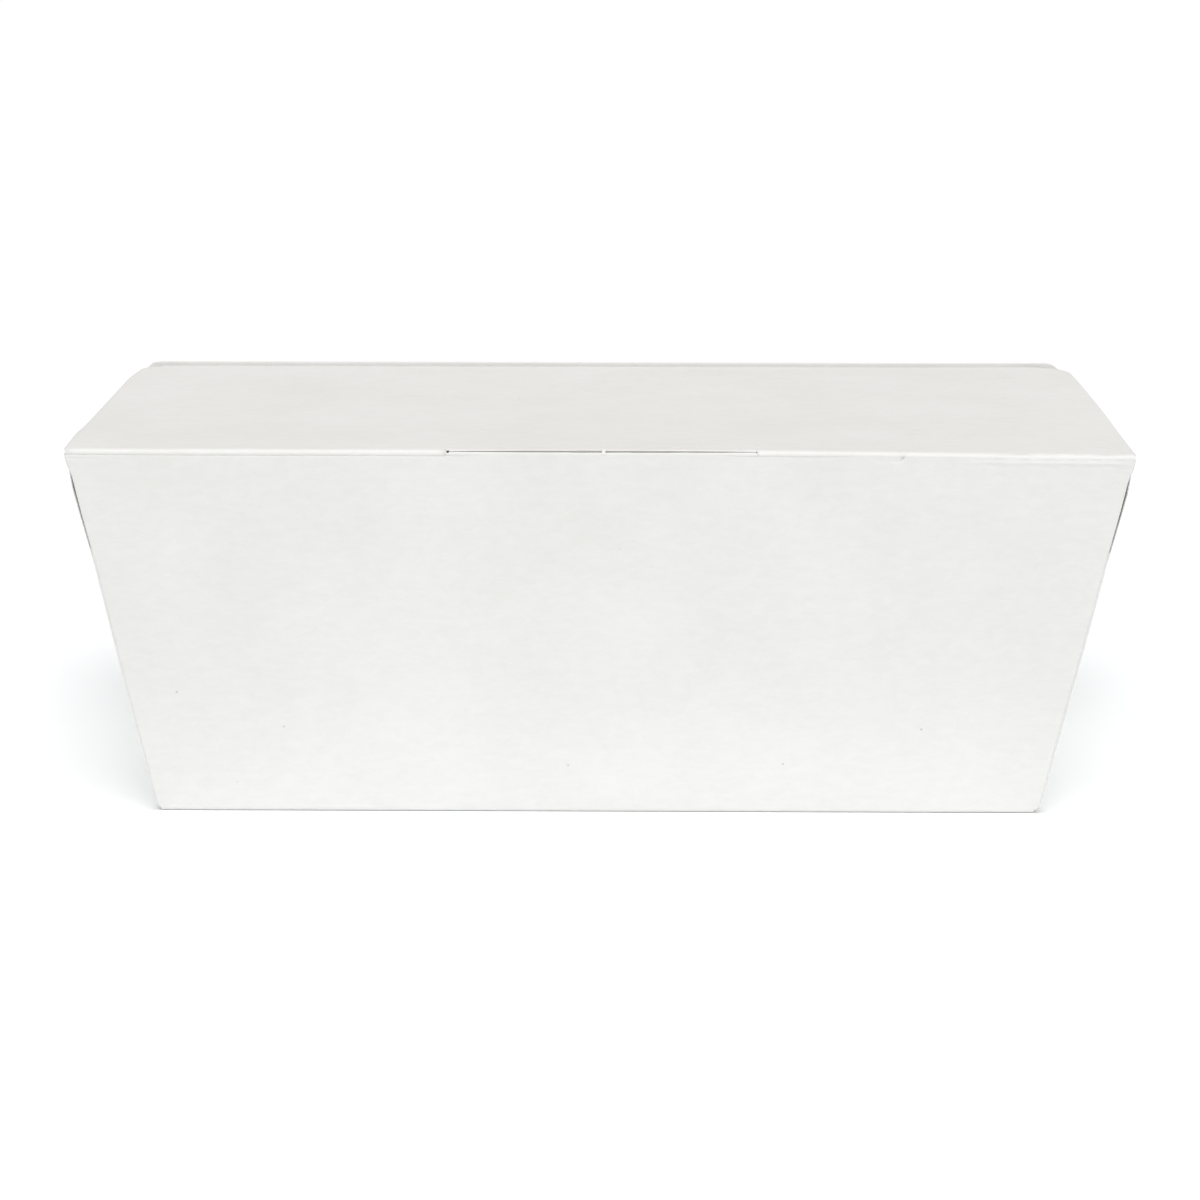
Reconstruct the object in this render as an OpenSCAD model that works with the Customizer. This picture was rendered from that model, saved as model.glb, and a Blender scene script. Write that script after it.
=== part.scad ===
// Lunch box of fine-flute corrugated board, folded from one die-cut blank.
// The four walls lean outwards, the lid is hinged on a crease along the near wall,
// and its flap tucks inside the far wall. Everything rests on the plane z = 0,
// with the length along x, the hinge at -y and the tuck flap at +y.

/* [Box] */
// Length over the top of the end walls
top_length = 205; // [190:1:225]
// Depth over the top of the long walls
top_depth = 107; // [98:1:120]
// Length of the base
base_length = 178; // [165:1:190]
// Depth of the base
base_depth = 80; // [72:1:92]
// Height from the table to the top of the lid
box_height = 76; // [66:1:90]

/* [Board] */
// Thickness of the fluted board
board = 1.5; // [1.3:0.1:1.8]
// Outside radius of a folded crease
fold_radius = 0.85; // [0.6:0.05:1.1]
// How far the pressed outside of a crease lies below the faces that it joins
crease_dip = 0.06; // [0.04:0.01:0.1]
// How far a panel reaches into the rounding of its crease
crease_lap = 0.04; // [0.02:0.01:0.08]
// How far a crease stops short of its panel's sides
crease_inset = 0.3; // [0.1:0.05:0.6]

/* [Long walls] */
// How far the raw ends of the long walls stand back from the end walls
edge_back = 0.8; // [0.2:0.05:1]
// Height of the band below the hinge crease where the near wall widens to the lid's length
flare_height = 9; // [6:0.5:14]
// Height over which the near wall's sides step out to that band
flare_step = 3; // [1:0.5:5]
// How far the ends of that band stand back from the end walls
flare_back = 0.1; // [0.05:0.05:0.2]
// Radius of the lower corners of the long walls
foot_corner = 1.8; // [1:0.1:4]
// Rise of the far wall's raw top edge above the lid
far_rise = 0.3; // [0.1:0.1:1.5]
// Radius of the far wall's top corners
far_corner = 3.5; // [2:0.5:10]

/* [Corner tabs] */
// Width of the glued tab at each corner
tab_width = 17; // [10:1:22]
// Height of the lower end of the tab's fold above the base
tab_low = 3; // [2:0.5:8]
// Height left free between the tab's fold and the top of the wall
tab_high = 17; // [4:0.5:22]
// How much each end of the tab slopes towards its free edge
tab_slope = 5; // [2:0.5:8]
// Radius of the tab's free corners
tab_corner = 3; // [1:0.5:4]
// How far the glued tab is pressed into the long wall's inner face
glue_press = 0.1; // [0.08:0.01:0.2]

/* [Dust flaps] */
// Length of each dust flap, from the end wall towards the middle
dust_length = 38; // [25:1:50]
// How much the dust flap narrows on the hinge side
dust_slope_near = 5; // [2:0.5:12]
// How much the dust flap narrows on the tuck side
dust_slope_far = 12; // [4:0.5:18]
// Radius of the dust flap's free corners
dust_corner = 7; // [3:0.5:10]
// Gap between a dust flap and the lid that rests on it
seat_gap = 0.15; // [0.1:0.05:0.4]

/* [Hinge] */
// Gap between lid and near wall along the hinge crease
hinge_gap = 0.2; // [0.1:0.05:0.4]
// Length of the slit cut through the middle of the hinge crease
slit_length = 60; // [30:1:90]
// Width that the slit opens to at its middle
slit_open = 0.5; // [0.4:0.05:1.2]
// Diameter of the punched hole at each end of the slit
slit_end = 0.9; // [0.8:0.1:2]

/* [Lid] */
// Length over which the lid's ends draw in towards the tuck crease
draw_length = 20; // [10:1:30]
// How far the lid's ends draw in
draw_in = 1.2; // [0.5:0.1:3]
// Radius of the lid's corners at the tuck crease
lid_corner = 6; // [3:0.5:10]

/* [Tuck flap] */
// Depth of the tuck flap below the lid
tuck_depth = 25; // [18:1:32]
// Radius of the tuck flap's free corners
tuck_corner = 13; // [6:1:16]
// How much each end of the tuck flap slopes in
tuck_slope = 3; // [1:0.5:8]
// Gap between the tuck flap and the tabs glued inside the far wall
tuck_gap = 0.4; // [0.3:0.1:1]
// Angle by which the tuck flap leans in more than the far wall
tuck_lean = 1.5; // [1:0.5:4]
// Gap between the tuck flap and the dust flaps
dust_gap = 0.7; // [0.4:0.1:2]

/* [Hidden] */

white_board = [0.93, 0.93, 0.92];
arc_steps = 5;          // straight pieces that a rounded corner is drawn with
slit_steps = 10;        // straight pieces along half of the slit's edge
clear = 8;              // how far a cutting shape reaches past what it cuts

// Lean of the walls from upright
end_lean = atan((top_length - base_length) / 2 / box_height);
wall_lean = atan((top_depth - base_depth) / 2 / box_height);
flap_lean = wall_lean + tuck_lean;

// Angle between the two panels at each kind of crease
base_angle_long = 90 + wall_lean;
base_angle_end = 90 + end_lean;
hinge_angle = 90 - wall_lean;
dust_angle = 90 - end_lean;
tuck_angle = 90 - flap_lean;

// Heights of the lid's underside and of the dust flaps' top
lid_under = box_height - board;
dust_top = lid_under - seat_gap;

// Corners of the creases that lie along x, as [y, z]
hinge_line = [-top_depth / 2, box_height];
tuck_line = [top_depth / 2 - (2 * board + tuck_gap) / cos(wall_lean), box_height];

// Corner of the dust flap's crease, as [x, z]
dust_line = [base_length / 2 + dust_top * tan(end_lean), dust_top];

// Depth of the centre of a crease's rounding below the faces that it joins
bend_depth = fold_radius + crease_dip;

// Distance from a crease's sharp corner to the end of its flat panel
function setback(angle) = (bend_depth - crease_lap) / tan(angle / 2);

// Depth of the corner tabs' glued face below the long walls' outer face
tab_depth = board - glue_press;

function unit(v) = v / norm(v);
function turn(a) = a > 180 ? a - 360 : (a < -180 ? a + 360 : a);

// Points of the arc that rounds the corner c between the points before and after it
function corner_arc(before, c, after, r) =
    r <= 0 ? [c] :
    let (
        to_before = unit(before - c),
        to_after = unit(after - c),
        half = acos(to_before * to_after) / 2,
        centre = c + unit(to_before + to_after) * r / sin(half),
        from = c + to_before * r / tan(half) - centre,
        to = c + to_after * r / tan(half) - centre,
        start = atan2(from[1], from[0]),
        sweep = turn(atan2(to[1], to[0]) - start)
    )
    [for (k = [0 : arc_steps])
        centre + r * [cos(start + sweep * k / arc_steps), sin(start + sweep * k / arc_steps)]];

// A closed outline with each of its corners rounded by its own radius
function rounded(points, radii) =
    let (n = len(points))
    [for (i = [0 : n - 1])
        each corner_arc(points[(i + n - 1) % n], points[i], points[(i + 1) % n], radii[i])];

// Half the length of a long wall at the distance v up its slope
function wall_half(v) =
    base_length / 2 + v * cos(wall_lean) * tan(end_lean) - edge_back;

// Half the length of the near wall's wider band at the distance v up its slope
function band_half(v) = wall_half(v) + edge_back - flare_back;

// Half the depth of an end wall at the distance v up its slope, up to its corner folds
function end_half(v) =
    base_depth / 2 + (v * cos(end_lean) + bend_depth * sin(end_lean)) * tan(wall_lean)
    - (tab_depth + bend_depth - crease_lap) / cos(wall_lean);

// Place along a long wall where the corner tab leaves its fold, at the distance v up the slope
function tab_root(v) =
    base_length / 2 - (bend_depth - crease_lap) / cos(end_lean)
    + (v * cos(wall_lean) + (tab_depth + bend_depth) * sin(wall_lean)) * tan(end_lean);

// Section of a crease between two panels: an arc outside, and a corner that ends within the board
module crease_section(corner, way_a, way_b) {
    half = acos(way_a * way_b) / 2;
    inwards = unit(way_a + way_b) / sin(half);
    bend_corner = corner + inwards * crease_dip;
    polygon(concat(
        corner_arc(bend_corner + way_a, bend_corner, bend_corner + way_b, fold_radius),
        [corner + inwards * (bend_depth + board) / 2]));
}

// A section drawn in y and z, carried along x
module along_x(half_length) {
    translate([-half_length, 0, 0])
        rotate([90, 0, 90])
            linear_extrude(2 * half_length)
                children();
}

// A section drawn in x and z, carried along y from y_near to y_far
module along_y(y_near, y_far) {
    translate([0, y_far, 0])
        rotate([90, 0, 0])
            linear_extrude(y_far - y_near)
                children();
}

// A flat panel of board under the outline's plane
module panel(depth = 0) {
    translate([0, 0, -board - depth])
        linear_extrude(board)
            children();
}

// The near wall's outer face: x along the box, y up the slope
module on_near_wall() {
    translate([0, -base_depth / 2, 0])
        rotate([90 + wall_lean, 0, 0])
            children();
}

// The right end wall's outer face: x along the depth, y up the slope
module on_right_wall() {
    translate([base_length / 2, 0, 0])
        rotate([90 + end_lean, 0, 90])
            children();
}

// The tuck flap's outer face: x along the box, y down the flap
module on_tuck_flap() {
    translate([0, tuck_line[0], tuck_line[1]])
        rotate([-90 - flap_lean, 0, 0])
            children();
}

// The hinge crease: x along it, y towards the lid across the mitre, z out of the box
module on_hinge() {
    translate([0, hinge_line[0], hinge_line[1]])
        rotate([(90 + wall_lean) / 2, 0, 0])
            children();
}

// Outline of a long wall from its base crease up to the distance top
module long_wall_outline(top, top_corner) {
    foot = setback(base_angle_long);
    polygon(rounded(
        [
            [-wall_half(foot), foot],
            [wall_half(foot), foot],
            [wall_half(top), top],
            [-wall_half(top), top]
        ],
        [foot_corner, foot_corner, top_corner, top_corner]));
}

// Outline of the near wall, whose sides step out to a wider band below the hinge crease
module near_wall_outline(top) {
    foot = setback(base_angle_long);
    band = top - flare_height;
    narrow = band - flare_step;
    polygon(rounded(
        [
            [-wall_half(foot), foot],
            [wall_half(foot), foot],
            [wall_half(narrow), narrow],
            [band_half(band), band],
            [band_half(top), top],
            [-band_half(top), top],
            [-band_half(band), band],
            [-wall_half(narrow), narrow]
        ],
        [foot_corner, foot_corner, 0, 0, 0, 0, 0, 0]));
}

// The slit: two shallow curves that part most at the middle, and a punched hole at each end
module slit_cut() {
    half = slit_length / 2;
    edge = [for (k = [-slit_steps : slit_steps])
        let (share = k / slit_steps) [half * share, slit_open / 2 * (1 - share * share)]];
    far_edge = [for (k = [slit_steps - 1 : -1 : 1 - slit_steps])
        let (share = k / slit_steps) [half * share, -slit_open / 2 * (1 - share * share)]];
    on_hinge()
        translate([0, 0, -clear / 2]) {
            linear_extrude(clear)
                polygon(concat(edge, far_edge));
            for (side = [-1, 1])
                translate([side * half, 0, 0])
                    cylinder(d = slit_end, h = clear, $fn = 24);
        }
}

// Everything on one side of the hinge's mitre: side 1 is the lid's, side -1 the wall's
module beyond_mitre(side) {
    on_hinge()
        translate([-top_length, side > 0 ? -hinge_gap / 2 : -clear + hinge_gap / 2, -clear])
            cube([2 * top_length, clear, 2 * clear]);
}

// The near wall, up to its half of the hinge crease
module near_wall() {
    top = box_height / cos(wall_lean) - setback(hinge_angle);
    difference() {
        union() {
            on_near_wall()
                panel()
                    near_wall_outline(top);
            along_x(band_half(top) - crease_inset)
                crease_section(hinge_line, [1, 0], [sin(wall_lean), -cos(wall_lean)]);
        }
        beyond_mitre(1);
        slit_cut();
    }
}

// The far wall, with its raw top edge
module far_wall() {
    rotate([0, 0, 180])
        on_near_wall()
            panel()
                long_wall_outline((box_height + far_rise) / cos(wall_lean), far_corner);
}

// The base, with the rounded creases along its four sides
module base() {
    half_length = base_length / 2 - setback(base_angle_end);
    half_depth = base_depth / 2 - setback(base_angle_long);
    translate([-half_length, -half_depth, 0])
        cube([2 * half_length, 2 * half_depth, board]);
    for (side = [0, 180])
        rotate([0, 0, side]) {
            along_x(wall_half(0) - foot_corner)
                crease_section([-base_depth / 2, 0], [1, 0], [-sin(wall_lean), cos(wall_lean)]);
            along_y(-end_half(0) + crease_inset, end_half(0) - crease_inset)
                crease_section([base_length / 2, 0], [-1, 0], [sin(end_lean), cos(end_lean)]);
        }
}

// The tab at the near right corner, glued to the inside of the near wall, and its fold
module corner_tab() {
    low = tab_low / cos(wall_lean);
    high = (dust_top - board - tab_high) / cos(wall_lean);
    on_near_wall()
        panel(tab_depth)
            polygon(rounded(
                [
                    [tab_root(low), low],
                    [tab_root(high), high],
                    [tab_root(high) - tab_width, high - tab_slope],
                    [tab_root(low) - tab_width, low + tab_slope]
                ],
                [0, 0, tab_corner, tab_corner]));
    out_end = [cos(end_lean), 0, -sin(end_lean)];
    out_long = [0, -cos(wall_lean), -sin(wall_lean)];
    run = unit([tan(end_lean), -tan(wall_lean), 1]);
    across = cross(run, out_end);
    spread = atan2(out_long * across, out_long * out_end);
    foot = [
        base_length / 2 - bend_depth / cos(end_lean),
        -base_depth / 2 + (tab_depth + bend_depth) / cos(wall_lean),
        0
    ];
    inside = -(board - bend_depth) / 2 / cos(spread / 2) * [cos(spread / 2), sin(spread / 2)];
    arc = [for (k = [0 : arc_steps])
        fold_radius * [cos(spread * k / arc_steps), sin(spread * k / arc_steps)]];
    low_end = tab_low + crease_inset;
    high_end = dust_top - board - tab_high - crease_inset;
    start = foot + run * low_end / run[2];
    multmatrix([
        [out_end[0], across[0], run[0], start[0]],
        [out_end[1], across[1], run[1], start[1]],
        [out_end[2], across[2], run[2], start[2]],
        [0, 0, 0, 1]
    ])
        linear_extrude((high_end - low_end) / run[2])
            polygon(concat(arc, [inside]));
}

// The right end wall, its dust flap folded in under the lid, and its two corner tabs
module right_wall() {
    foot = setback(base_angle_end);
    top = dust_top / cos(end_lean) - setback(dust_angle);
    root = dust_line[0] - setback(dust_angle);
    near = -end_half(top);
    far = tuck_line[0] - (box_height - dust_top + board) * tan(flap_lean)
        - board / cos(flap_lean) - dust_gap;
    on_right_wall()
        panel()
            polygon([
                [-end_half(foot), foot],
                [end_half(foot), foot],
                [end_half(top), top],
                [-end_half(top), top]
            ]);
    along_y(near + crease_inset, far - crease_inset)
        crease_section(dust_line, [-sin(end_lean), -cos(end_lean)], [-1, 0]);
    translate([0, 0, dust_top])
        panel()
            polygon(rounded(
                [
                    [root, near],
                    [root, far],
                    [root - dust_length, far - dust_slope_far],
                    [root - dust_length, near + dust_slope_near]
                ],
                [0, 0, dust_corner, dust_corner]));
    for (side = [0, 1])
        mirror([0, side, 0])
            corner_tab();
}

// The tray: base, four walls, glued corner tabs and dust flaps, all one folded sheet
module tray() {
    color(white_board) {
        base();
        near_wall();
        far_wall();
        for (side = [0, 1])
            mirror([side, 0, 0])
                right_wall();
    }
}

// The lid's top panel, from the hinge crease to the tuck crease
module lid_panel() {
    half = top_length / 2;
    near = hinge_line[0] + setback(hinge_angle);
    far = tuck_line[0] - setback(tuck_angle);
    translate([0, 0, box_height])
        panel()
            polygon(rounded(
                [
                    [-half, near],
                    [half, near],
                    [half, far - draw_length],
                    [half - draw_in, far],
                    [-half + draw_in, far],
                    [-half, far - draw_length]
                ],
                [0, 0, draw_length, lid_corner, lid_corner, draw_length]));
    along_x(half - crease_inset)
        crease_section(hinge_line, [1, 0], [sin(wall_lean), -cos(wall_lean)]);
}

// The tuck flap and its crease, which ends where the lid's corners start to round
module tuck_flap() {
    half = top_length / 2 - draw_in - lid_corner;
    root = setback(tuck_angle);
    along_x(half - crease_inset)
        crease_section(tuck_line, [-1, 0], [-sin(flap_lean), -cos(flap_lean)]);
    on_tuck_flap()
        panel()
            polygon(rounded(
                [
                    [-half, root],
                    [half, root],
                    [half - tuck_slope, tuck_depth],
                    [-half + tuck_slope, tuck_depth]
                ],
                [0, 0, tuck_corner, tuck_corner]));
}

// The lid: top panel and tuck flap, the part of the sheet that turns on the hinge crease
module lid() {
    color(white_board)
        difference() {
            union() {
                lid_panel();
                tuck_flap();
            }
            beyond_mitre(-1);
            slit_cut();
        }
}

tray();
lid();
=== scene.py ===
from math import atan, cos, pi, radians, sin, tan

import bpy
import numpy as np
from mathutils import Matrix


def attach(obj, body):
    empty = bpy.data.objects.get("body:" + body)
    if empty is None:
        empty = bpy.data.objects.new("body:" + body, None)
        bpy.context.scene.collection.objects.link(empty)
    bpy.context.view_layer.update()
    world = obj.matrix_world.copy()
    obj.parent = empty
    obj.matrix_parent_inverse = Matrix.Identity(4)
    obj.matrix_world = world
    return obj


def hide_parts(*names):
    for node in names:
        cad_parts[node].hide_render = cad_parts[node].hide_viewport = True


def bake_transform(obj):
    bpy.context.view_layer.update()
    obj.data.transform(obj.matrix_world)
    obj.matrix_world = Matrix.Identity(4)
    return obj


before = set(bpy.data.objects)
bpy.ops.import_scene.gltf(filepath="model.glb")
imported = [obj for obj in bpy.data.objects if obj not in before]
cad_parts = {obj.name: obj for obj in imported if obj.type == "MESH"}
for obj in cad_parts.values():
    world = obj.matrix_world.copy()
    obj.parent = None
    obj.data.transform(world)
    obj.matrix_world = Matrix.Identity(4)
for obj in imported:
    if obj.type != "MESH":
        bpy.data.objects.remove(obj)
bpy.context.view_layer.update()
print("frame loaded:", sorted(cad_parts))

# The box, in millimetres. The first six sizes are the CAD's, the others say how the sheet lies.
box = {
    "topLength": 205.0,
    "topDepth": 107.0,
    "baseLength": 178.0,
    "baseDepth": 80.0,
    "height": 76.0,
    "board": 1.5,
    "creaseRadius": 0.92,      # outside of a folded crease
    "innerFillet": 0.3,        # how far the inside of a crease is rounded
    "edgeBack": 0.58,          # raw ends of the long walls stand back from the corner line
    "flareBack": 0.3,          # less so in the band below the hinge crease
    "endOut": 0.26,            # the end walls stand out past the corner line
    "endBulge": 0.45,          # and bow further out near the top
    "footPull": 0.9,           # the base's corners are pressed in near the table
}
endLean = atan((box["topLength"] - box["baseLength"]) / 2 / box["height"])
wallLean = atan((box["topDepth"] - box["baseDepth"]) / 2 / box["height"])

# The board: two white liners on a fluted medium
board = {
    "pitch": 2.8,              # flute to flute
    "liner": 0.2,              # thickness of each liner
    "medium": 0.13,            # thickness of the fluted paper
    "washboard": 0.022,        # how far a liner sinks between two flutes
    "rowStep": 0.5,            # distance between the rows of the mesh
    "baseStep": 0.62,          # the same on the base
    "crowding": 0.035,         # how much the rows crowd towards both ends of a panel
    "bendRows": 13,            # rows round a crease
    "hingeReach": 3.0,         # beside the hinge crease the rows lie closer together
    "hingeStep": 0.14,
    "mediumInset": 0.12,       # the fluted paper stands back a little between the liners' edges
    "pressDepth": 0.05,        # the board is pressed this deep beside a crease
}


def smooth(x, low, high):
    # 0 below low, 1 above high, and 3t^2 - 2t^3 between them
    t = np.clip((x - low) / (high - low), 0.0, 1.0)
    return t * t * (3 - 2 * t)


def bell(x, middle, width):
    # Gauss's bell of height 1 about middle
    return np.exp(-((x - middle) / width) ** 2)


def unit(v):
    return np.asarray(v, float) / np.linalg.norm(v)


def swing(a, b, share):
    # Unit vectors that turn evenly from a to b: sin((1-s)t) a + sin(s t) b, over sin t
    angle = np.arccos(np.clip(np.dot(a, b), -1, 1))
    s = np.asarray(share, float)[..., None]
    return (np.sin((1 - s) * angle) * a + np.sin(s * angle) * b) / np.sin(angle)


def bend(corner, before, after, sideBefore, sideAfter):
    # Rows round a crease between two panels. Outside: a straight, an arc and a straight, by length.
    # Inside: a small arc over the same rows. before and after point away from the corner,
    # and the sides point into the board.
    half = np.arccos(np.clip(np.dot(before, after), -1, 1)) / 2
    radius, fillet = box["creaseRadius"], box["innerFillet"]
    reach = box["board"] / tan(half) + fillet
    tangent = radius / tan(half)
    inward = unit(before + after)
    outerCentre = corner + inward * radius / sin(half)
    innerCentre = corner + inward * (box["board"] / sin(half) + fillet / cos(half))
    arcLength = radius * (pi - 2 * half)
    total = 2 * (reach - tangent) + arcLength
    length = np.linspace(0, total, board["bendRows"] + 2)[1:-1]
    share = np.clip((length - (reach - tangent)) / arcLength, 0, 1)
    outer = outerCentre - radius * swing(sideBefore, sideAfter, share)
    outer = outer + np.clip(reach - tangent - length, 0, None)[:, None] * before
    outer = outer + np.clip(length - (reach - tangent) - arcLength, 0, None)[:, None] * after
    inner = innerCentre - fillet * tan(half) * swing(sideBefore, sideAfter, length / total)
    return outer, inner, length - total / 2, reach, total


def foldedProfile(corners, into, startTrim, endTrim, step, fineReach=0.0):
    # The board's section along a run of panels: straight panels whose inside is one board's
    # thickness from their outside, joined by bends. into is 1 where the board lies to the left.
    # The trims are (outside, inside) distances from the first and last corner. Rows lie closer
    # together up to fineReach from the start.
    corners = [np.array(c, float) for c in corners]
    last = len(corners) - 2
    ways = [unit(corners[k + 1] - corners[k]) for k in range(last + 1)]
    sides = [into * np.array([-w[1], w[0]]) for w in ways]
    bends = [bend(corners[k + 1], -ways[k], ways[k + 1], sides[k], sides[k + 1])
             for k in range(last)]
    outer, inner, along, fold = [], [], [], []
    travelled = 0.0
    for k in range(last + 1):
        length = np.linalg.norm(corners[k + 1] - corners[k])
        begin = startTrim if k == 0 else (bends[k - 1][3],) * 2
        end = endTrim if k == last else (bends[k][3],) * 2
        count = max(2, int(round((length - begin[0] - end[0]) / step[k])) + 1)
        share = np.linspace(0, 1, count)
        share = share - board["crowding"] * np.sin(2 * pi * share)
        reach = fineReach if k == 0 else 0.0
        fine = begin[0] + np.arange(0, reach, board["hingeStep"])
        first = begin[0] + reach
        outAt = np.concatenate([fine, first + share * (length - end[0] - first)])
        inAt = np.clip(outAt, begin[1], length - end[1])
        inAt[0], inAt[-1] = begin[1], length - end[1]
        outer.append(corners[k] + outAt[:, None] * ways[k])
        inner.append(corners[k] + inAt[:, None] * ways[k] + box["board"] * sides[k])
        along.append(travelled + outAt)
        fold.append(np.where(outAt * 2 < length, outAt, outAt - length))
        travelled += length
        if k < last:
            outer.append(bends[k][0])
            inner.append(bends[k][1])
            along.append(travelled + bends[k][2])
            fold.append(bends[k][2])
    return {"outer": np.concatenate(outer), "inner": np.concatenate(inner),
            "along": np.concatenate(along), "fold": np.concatenate(fold)}


def closedShell(front, back):
    # Closes two grids of the same size into one shell with four rims, and turns its faces outwards
    # by the sign of its volume: the sum of a . (b x c) over its triangles.
    rows, columns = front.shape[:2]
    points = np.concatenate([front.reshape(-1, 3), back.reshape(-1, 3)])
    index = np.arange(rows * columns).reshape(rows, columns)
    other = index + rows * columns

    def quads(a, b, c, d):
        return np.stack([a.ravel(), b.ravel(), c.ravel(), d.ravel()], 1)

    skin = quads(index[:-1, :-1], index[1:, :-1], index[1:, 1:], index[:-1, 1:])
    under = quads(other[:-1, :-1], other[:-1, 1:], other[1:, 1:], other[1:, :-1])
    rims = np.concatenate([
        quads(index[:-1, 0], other[:-1, 0], other[1:, 0], index[1:, 0]),
        quads(index[:-1, -1], index[1:, -1], other[1:, -1], other[:-1, -1]),
        quads(index[0, :-1], index[0, 1:], other[0, 1:], other[0, :-1]),
        quads(index[-1, :-1], other[-1, :-1], other[-1, 1:], index[-1, 1:]),
    ])
    faces = np.concatenate([skin, under, rims])
    a, b, c, d = (points[faces[:, i]] for i in range(4))
    volume = (np.einsum("ij,ij->i", a, np.cross(b, c)) + np.einsum("ij,ij->i", a, np.cross(c, d))).sum()
    if volume < 0:
        faces = faces[:, ::-1]
    isSkin = np.arange(len(faces)) < len(skin) + len(under)
    isFront = np.arange(len(faces)) < len(skin)
    return {"points": points, "faces": faces, "smooth": isSkin, "front": isFront}


def fluteStrength(along, across):
    # Each flute presses through a little differently: slow waves along it and from flute to flute
    flute = np.floor(along / board["pitch"] + 0.5)
    own = 0.5 + 0.5 * np.sin(flute * 2.399 + 1.3 * np.sin(flute * 0.71))
    drift = 0.5 + 0.5 * np.sin(across / 23.0 + flute * 0.37) * np.sin(across / 61.0 + 1.0)
    return 0.45 + 0.3 * own + 0.5 * drift


def boardSheet(profile, low, high, shares, place, fluteAcross=True, relief=None, mediumShares=None):
    # A sheet of board: for each row of the profile, points spread from low to high across it.
    # Layers lie at set shares of the line from outside to inside, and the medium between the
    # liners follows half a cosine of the distance over the pitch.
    def layers(spread, inset):
        across = (low + inset)[:, None] + spread[None, :] * (high - low - 2 * inset)[:, None]
        along = np.broadcast_to(profile["along"][:, None], across.shape)
        waveAt = along if fluteAcross else across
        wave = np.cos(2 * pi * waveAt / board["pitch"])
        strength = fluteStrength(waveAt, across if fluteAcross else along) * board["washboard"]
        outer = np.broadcast_to(profile["outer"][:, None, :], across.shape + (2,))
        inner = np.broadcast_to(profile["inner"][:, None, :], across.shape + (2,))
        out = outer - inner
        out = out / np.linalg.norm(out, axis=2, keepdims=True)
        push = -0.5 * strength * (1 - wave)
        if relief is not None:
            push = push + relief(profile["fold"][:, None], across, along)
        outer = outer + out * push[..., None]
        inner = inner + out * (0.5 * strength * (1 + wave))[..., None]
        return across, wave, outer, inner

    def solid(points, across):
        return place(points[..., 0], points[..., 1], across)

    across, wave, outer, inner = layers(shares, 0.0)
    liner = board["liner"] / box["board"]
    shells = [
        closedShell(solid(outer, across), solid(outer + (inner - outer) * liner, across)),
        closedShell(solid(inner, across), solid(inner + (outer - inner) * liner, across)),
    ]
    spread = shares if mediumShares is None else mediumShares
    across, wave, outer, inner = layers(spread, board["mediumInset"])
    thin = board["medium"] / box["board"]
    middle = 0.5 - 0.5 * (1 - 2 * liner - thin) * wave
    top = outer + (inner - outer) * (middle - thin / 2)[..., None]
    bottom = outer + (inner - outer) * (middle + thin / 2)[..., None]
    core = closedShell(solid(top, across), solid(bottom, across))
    core["front"][:] = False
    shells.append(core)
    return shells


# How the box has settled: gentle bows and a drooping corner, the same for every piece it touches
wear = {
    "cornerDrop": 0.62,        # near right corner of the lid
    "wallBow": 0.35,           # near wall, outwards
    "lidSag": 0.35,            # middle of the lid
    "slitLift": 0.1,           # the lid's lip over the slit
    "farLift": 0.1,            # far right corner of the lid
    "leftLift": 0.35,          # left end of the lid, near the hinge
    "rightLift": 0.14,         # right end of the lid, beyond its middle
}


def settle(points, lidShare):
    # Moves points, in millimetres: a drop that grows smoothly to the near right top corner, a sag of
    # the lid by two parabolas, a bow of the near wall that follows half a sine of the height and a
    # parabola of the length, a lift of the lid's lip over the slit by a parabola that fades behind
    # it, and small lifts of the lid's ends by smooth steps and bells.
    x, y, z = points[..., 0], points[..., 1], points[..., 2]
    moved = points.copy()
    top = smooth(z, 30, 74)
    drop = wear["cornerDrop"] * smooth(x, 25, 103) * (1 - smooth(y, -50, 0)) * top
    sag = wear["lidSag"] * np.clip(1 - (x / 96) ** 2, 0, 1) * np.clip(1 - (y / 49) ** 2, 0, 1)
    sag = sag * smooth(z, 72.6, 74.2)
    bow = wear["wallBow"] * np.sin(pi * np.clip(z / 74, 0, 1)) * np.clip(1 - (x / 104) ** 2, 0, 1)
    lift = wear["slitLift"] * np.clip(1 - (x / 31) ** 2, 0, 1) * np.exp(-np.clip(y + 53, 0, None) / 3.0)
    rise = wear["farLift"] * smooth(x, 62, 100) * smooth(y, -45, -5)
    rise = rise + wear["leftLift"] * smooth(-x, 86, 99) * bell(y, -39, 9)
    rise = rise + wear["rightLift"] * smooth(x, 60, 100) * bell(y, 18, 20)
    moved[..., 2] += -drop - sag + rise * top + lift * lidShare * smooth(z, 72, 74)
    moved[..., 1] += -bow * smooth(-y, 36, 40)
    return moved


def edgeBack(z, x):
    # How far a raw end stands back from the corner line: less in the top band, more at the right foot
    back = box["flareBack"] + (box["edgeBack"] - box["flareBack"]) * (1 - smooth(z, 50, 66))
    back = back - 0.45 * smooth(z, 70.3, 73.6)
    return back + np.where(x > 0, 0.65 * (1 - smooth(z, 5, 50)), 0.22 * (1 - smooth(z, 0, 30)))


def endOut(z, side):
    # How far an end wall stands out from the corner line
    out = box["endOut"] + box["endBulge"] * smooth(z, 52, 68) * (1 - smooth(z, 69, 74))
    return out - (0.7 * (1 - smooth(z, 0, 50)) if side > 0 else 0.22 * (1 - smooth(z, 0, 25)))


def footPull(z):
    # How far the corner of the base is pressed in near the table
    return box["footPull"] * (1 - smooth(z, 0.2, 5.0))


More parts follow.
